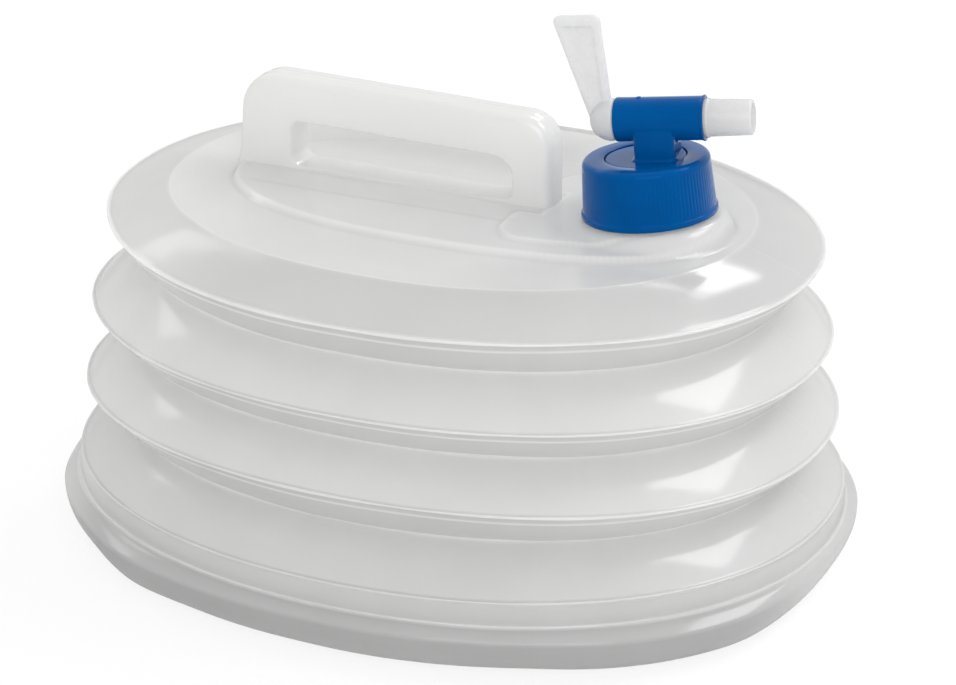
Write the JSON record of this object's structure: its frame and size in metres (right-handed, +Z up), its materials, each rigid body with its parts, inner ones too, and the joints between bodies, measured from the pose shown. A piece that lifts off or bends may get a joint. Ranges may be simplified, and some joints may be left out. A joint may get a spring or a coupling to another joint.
{
  "type": "collapsible water carrier",
  "caption": "Oval bellows water container that folds flat, with a carrying handle on its deck and a blue screw cap that holds a lever tap.",
  "frame": {"origin": "on the ground, under the middle of the base", "axes": "+X along the handle towards the filler neck, +Z up"},
  "size_m": [0.359, 0.3022, 0.2445],
  "materials": {
    "milky_polyethylene": "satin, milky and translucent",
    "milky_polyethylene_folds": "satin, milky and translucent",
    "blue_polyethylene": "satin",
    "white_polypropylene": "satin, translucent white",
    "grey_rubber": "matt"
  },
  "bodies": {
    "base": {"container_base": "milky_polyethylene", "bellows_fold_lower": "milky_polyethylene_folds"},
    "crest_lower": {"fold_crest_lower": "milky_polyethylene", "bellows_fold_middle": "milky_polyethylene_folds"},
    "crest_middle": {"fold_crest_middle": "milky_polyethylene", "bellows_fold_upper": "milky_polyethylene_folds"},
    "top": {"container_top": "milky_polyethylene", "carry_handle": "milky_polyethylene", "threaded_neck": "milky_polyethylene"},
    "washer": {"seal_washer": "grey_rubber"},
    "cap": {"screw_cap": "blue_polyethylene"},
    "tap": {"tap_body": "blue_polyethylene"},
    "plug": {"tap_plug": "white_polypropylene"}
  },
  "joints": [
    {"name": "collapse", "type": "slide", "parent": "base", "child": "top", "axis": [0, 0, 1], "range_m": [-0.08, 0], "deforming": ["bellows_fold_upper"]},
    {"name": "collapse_lower_crest", "type": "slide", "parent": "base", "child": "crest_lower", "axis": [0, 0, 1], "range_m": [-0.0268, 0], "deforming": ["bellows_fold_lower"]},
    {"name": "collapse_middle_crest", "type": "slide", "parent": "base", "child": "crest_middle", "axis": [0, 0, 1], "range_m": [-0.0535, 0], "deforming": ["bellows_fold_middle"]},
    {"name": "cap_lift", "type": "slide", "parent": "top", "child": "washer", "axis": [-0.1045, 0, 0.9945], "range_m": [0, 0.0061]},
    {"name": "cap_turn", "type": "hinge", "parent": "washer", "child": "cap", "pos_m": [0.0898, 0, 0.16024], "axis": [-0.1045, 0, 0.9945], "range_deg": [0, 540]},
    {"name": "tap_swivel", "type": "hinge", "parent": "washer", "child": "tap", "pos_m": [0.0898, 0, 0.16024], "axis": [-0.1045, 0, 0.9945], "range_deg": [-120, 120]},
    {"name": "lever_turn", "type": "hinge", "parent": "tap", "child": "plug", "pos_m": [0.09078, 0.00101, 0.20167], "axis": [0.9769, 0.1874, 0.1027], "range_deg": [0, 90]}
  ],
  "couplings": [
    {"joint": "collapse_lower_crest", "follows": "collapse", "ratio": 0.33333},
    {"joint": "collapse_middle_crest", "follows": "collapse", "ratio": 0.66667},
    {"joint": "cap_lift", "follows": "cap_turn", "m_per_rad": 0.00063662}
  ]
}
